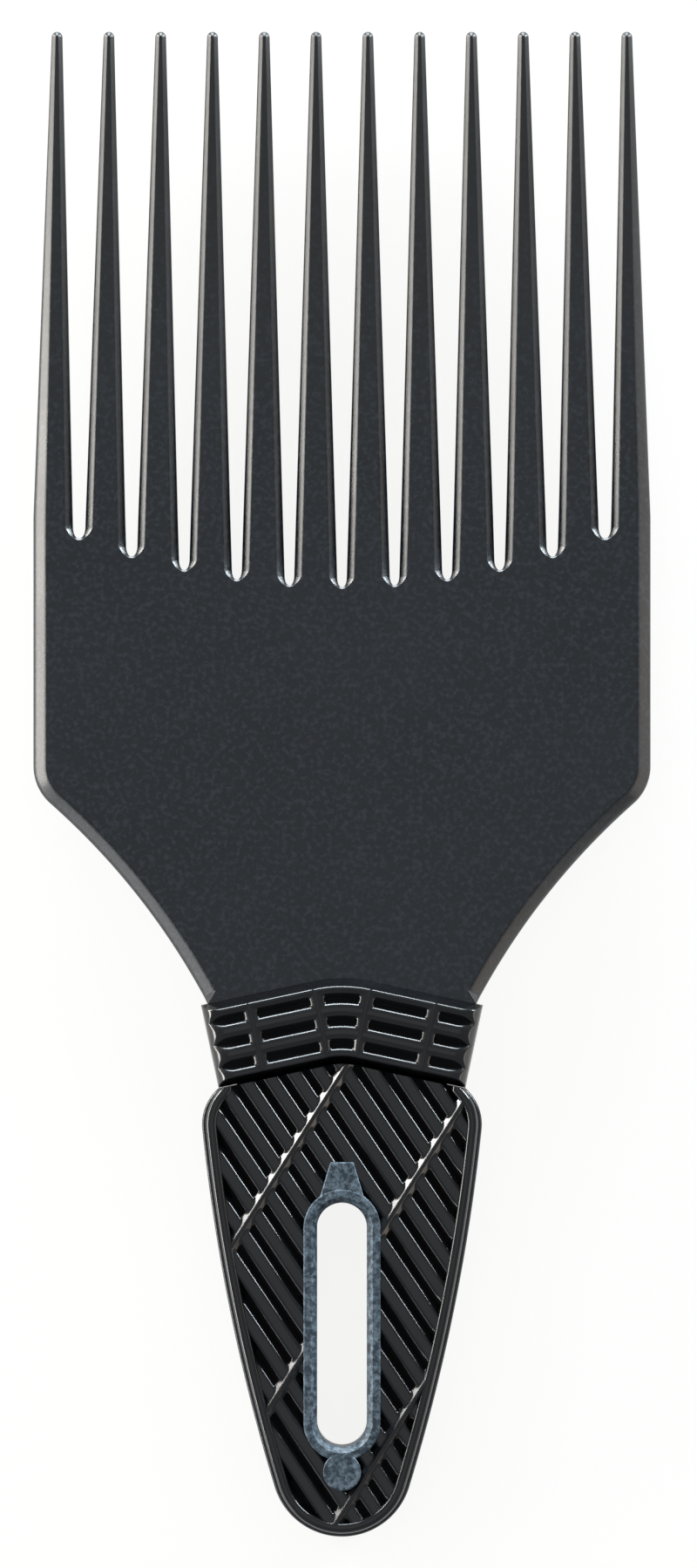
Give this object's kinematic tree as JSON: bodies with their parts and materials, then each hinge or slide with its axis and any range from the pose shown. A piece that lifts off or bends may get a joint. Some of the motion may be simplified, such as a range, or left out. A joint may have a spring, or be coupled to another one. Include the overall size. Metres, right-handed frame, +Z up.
{
  "type": "afro pick comb",
  "caption": "Flat pick comb with long tapering teeth, swept shoulders, a lattice collar and a fluted tapering handle with a framed hanging slot",
  "frame": {"origin": "Centre of the comb's outline, on the plane that the comb lies on", "axes": "+X across the teeth, +Y along the comb from the handle end to the tips, +Z up through the thickness, out of the front face"},
  "size_m": [0.0718, 0.175, 0.0092],
  "materials": {
    "satin_blade": "satin moulded plastic, near black",
    "gloss_grip": "glossy black moulded plastic",
    "slot_frame": "satin dark blue-grey moulded plastic"
  },
  "bodies": {
    "root": {"comb_blade": "satin_blade", "front_collar": "gloss_grip", "rear_collar": "gloss_grip", "front_grip": "gloss_grip", "rear_grip": "gloss_grip", "slot_eyelet": "slot_frame", "slot_ring": "slot_frame"}
  },
  "joints": []
}
